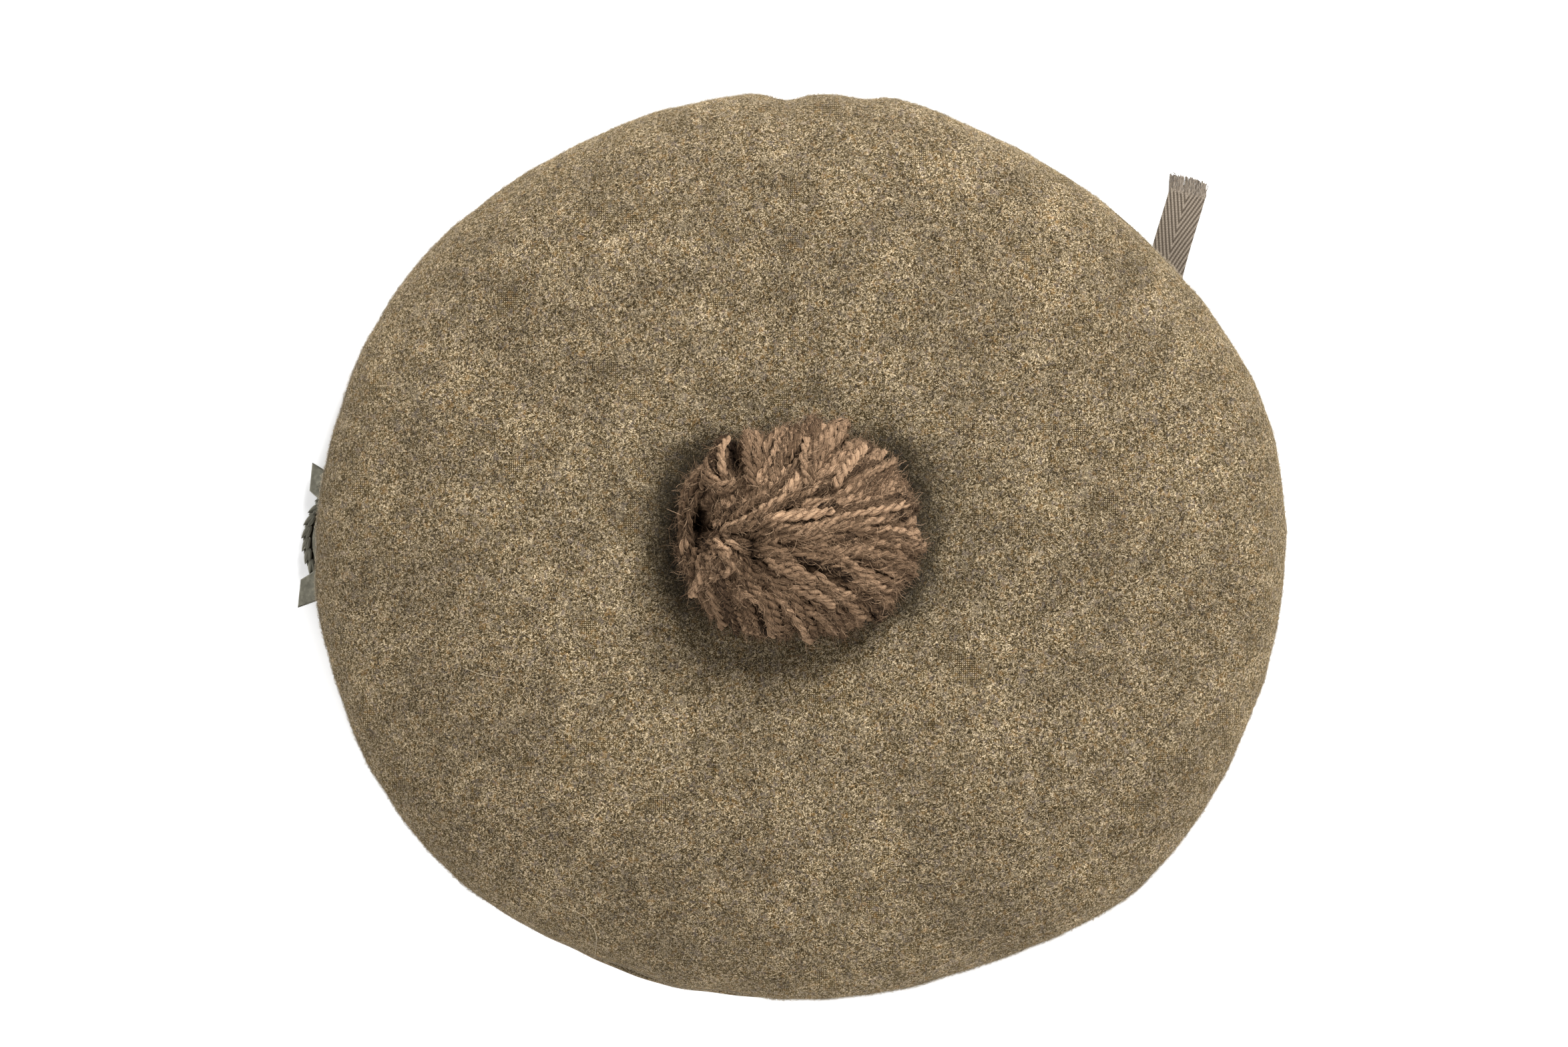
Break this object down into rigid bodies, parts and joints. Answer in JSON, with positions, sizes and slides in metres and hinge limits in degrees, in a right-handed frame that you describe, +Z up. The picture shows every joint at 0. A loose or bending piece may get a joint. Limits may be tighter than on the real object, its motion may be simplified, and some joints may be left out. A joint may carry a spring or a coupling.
{
  "type": "bonnet",
  "caption": "Flat round wool bonnet with a yarn pompom on top, a plain cross badge pinned under the rim, a lined crown and a headband with a drawtape.",
  "frame": {"origin": "centre of the head opening, on the surface the headband stands on", "axes": "+Z up through the crown, -X towards the badge, +X towards the back seam where the drawtape leaves the band"},
  "size_m": [0.2967, 0.272, 0.0714],
  "materials": {
    "serge": "milled khaki wool serge",
    "yarn": "two-ply brown wool",
    "tape": "herringbone cotton tape",
    "lining": "plain-weave cotton",
    "sweatband": "cotton twill",
    "binding": "folded cotton tape",
    "thread": "waxed thread",
    "label": "plain woven",
    "badge_metal": "grey-bronze anodised",
    "wire": "drawn",
    "brass": "stamped"
  },
  "bodies": {
    "bonnet": {"crown_top_panel": "serge", "crown_under_panel": "serge", "crown_lining_top": "lining", "crown_lining_under": "lining", "rim_seam_thread": "thread", "band_seam_thread": "thread", "headband": "serge", "sweatband": "sweatband", "edge_binding": "binding", "size_tape": "tape", "slit_stitching_left": "thread", "slit_stitching_right": "thread", "sweatband_stitches": "thread", "binding_stitches": "thread", "back_seam_stitches": "thread", "size_label": "label", "toorie_patch": "lining", "toorie_anchor_stitches": "thread", "badge_cross": "badge_metal", "badge_wreath": "badge_metal", "badge_field": "badge_metal", "badge_boss": "badge_metal", "badge_lug_left": "wire", "badge_lug_right": "wire", "badge_backing_plate": "brass", "badge_split_pin": "brass"},
    "toorie_neck": {"toorie_shank": "yarn"},
    "toorie": {"toorie_yarn": "yarn", "toorie_tie": "thread"},
    "tail_left": {"tape_tail_left": "tape"},
    "tail_right": {"tape_tail_right": "tape"}
  },
  "joints": [
    {"name": "toorie_rock_y", "type": "hinge", "parent": "bonnet", "child": "toorie_neck", "pos_m": [0, 0.0035, 0.0352], "axis": [0, 1, 0], "range_deg": [-8, 8], "stiffness_Nm_per_rad": 0.03},
    {"name": "toorie_rock_x", "type": "hinge", "parent": "toorie_neck", "child": "toorie", "pos_m": [0, 0.0035, 0.0352], "axis": [1, 0, 0], "range_deg": [-8, 8], "stiffness_Nm_per_rad": 0.03},
    {"name": "tail_left_swing", "type": "hinge", "parent": "bonnet", "child": "tail_left", "pos_m": [0.0967, 0.0136, 0.0145], "axis": [0, 0, 1], "range_deg": [-45, 10]},
    {"name": "tail_right_swing", "type": "hinge", "parent": "bonnet", "child": "tail_right", "pos_m": [0.0967, -0.0136, 0.0145], "axis": [0, 0, 1], "range_deg": [-10, 45]}
  ]
}
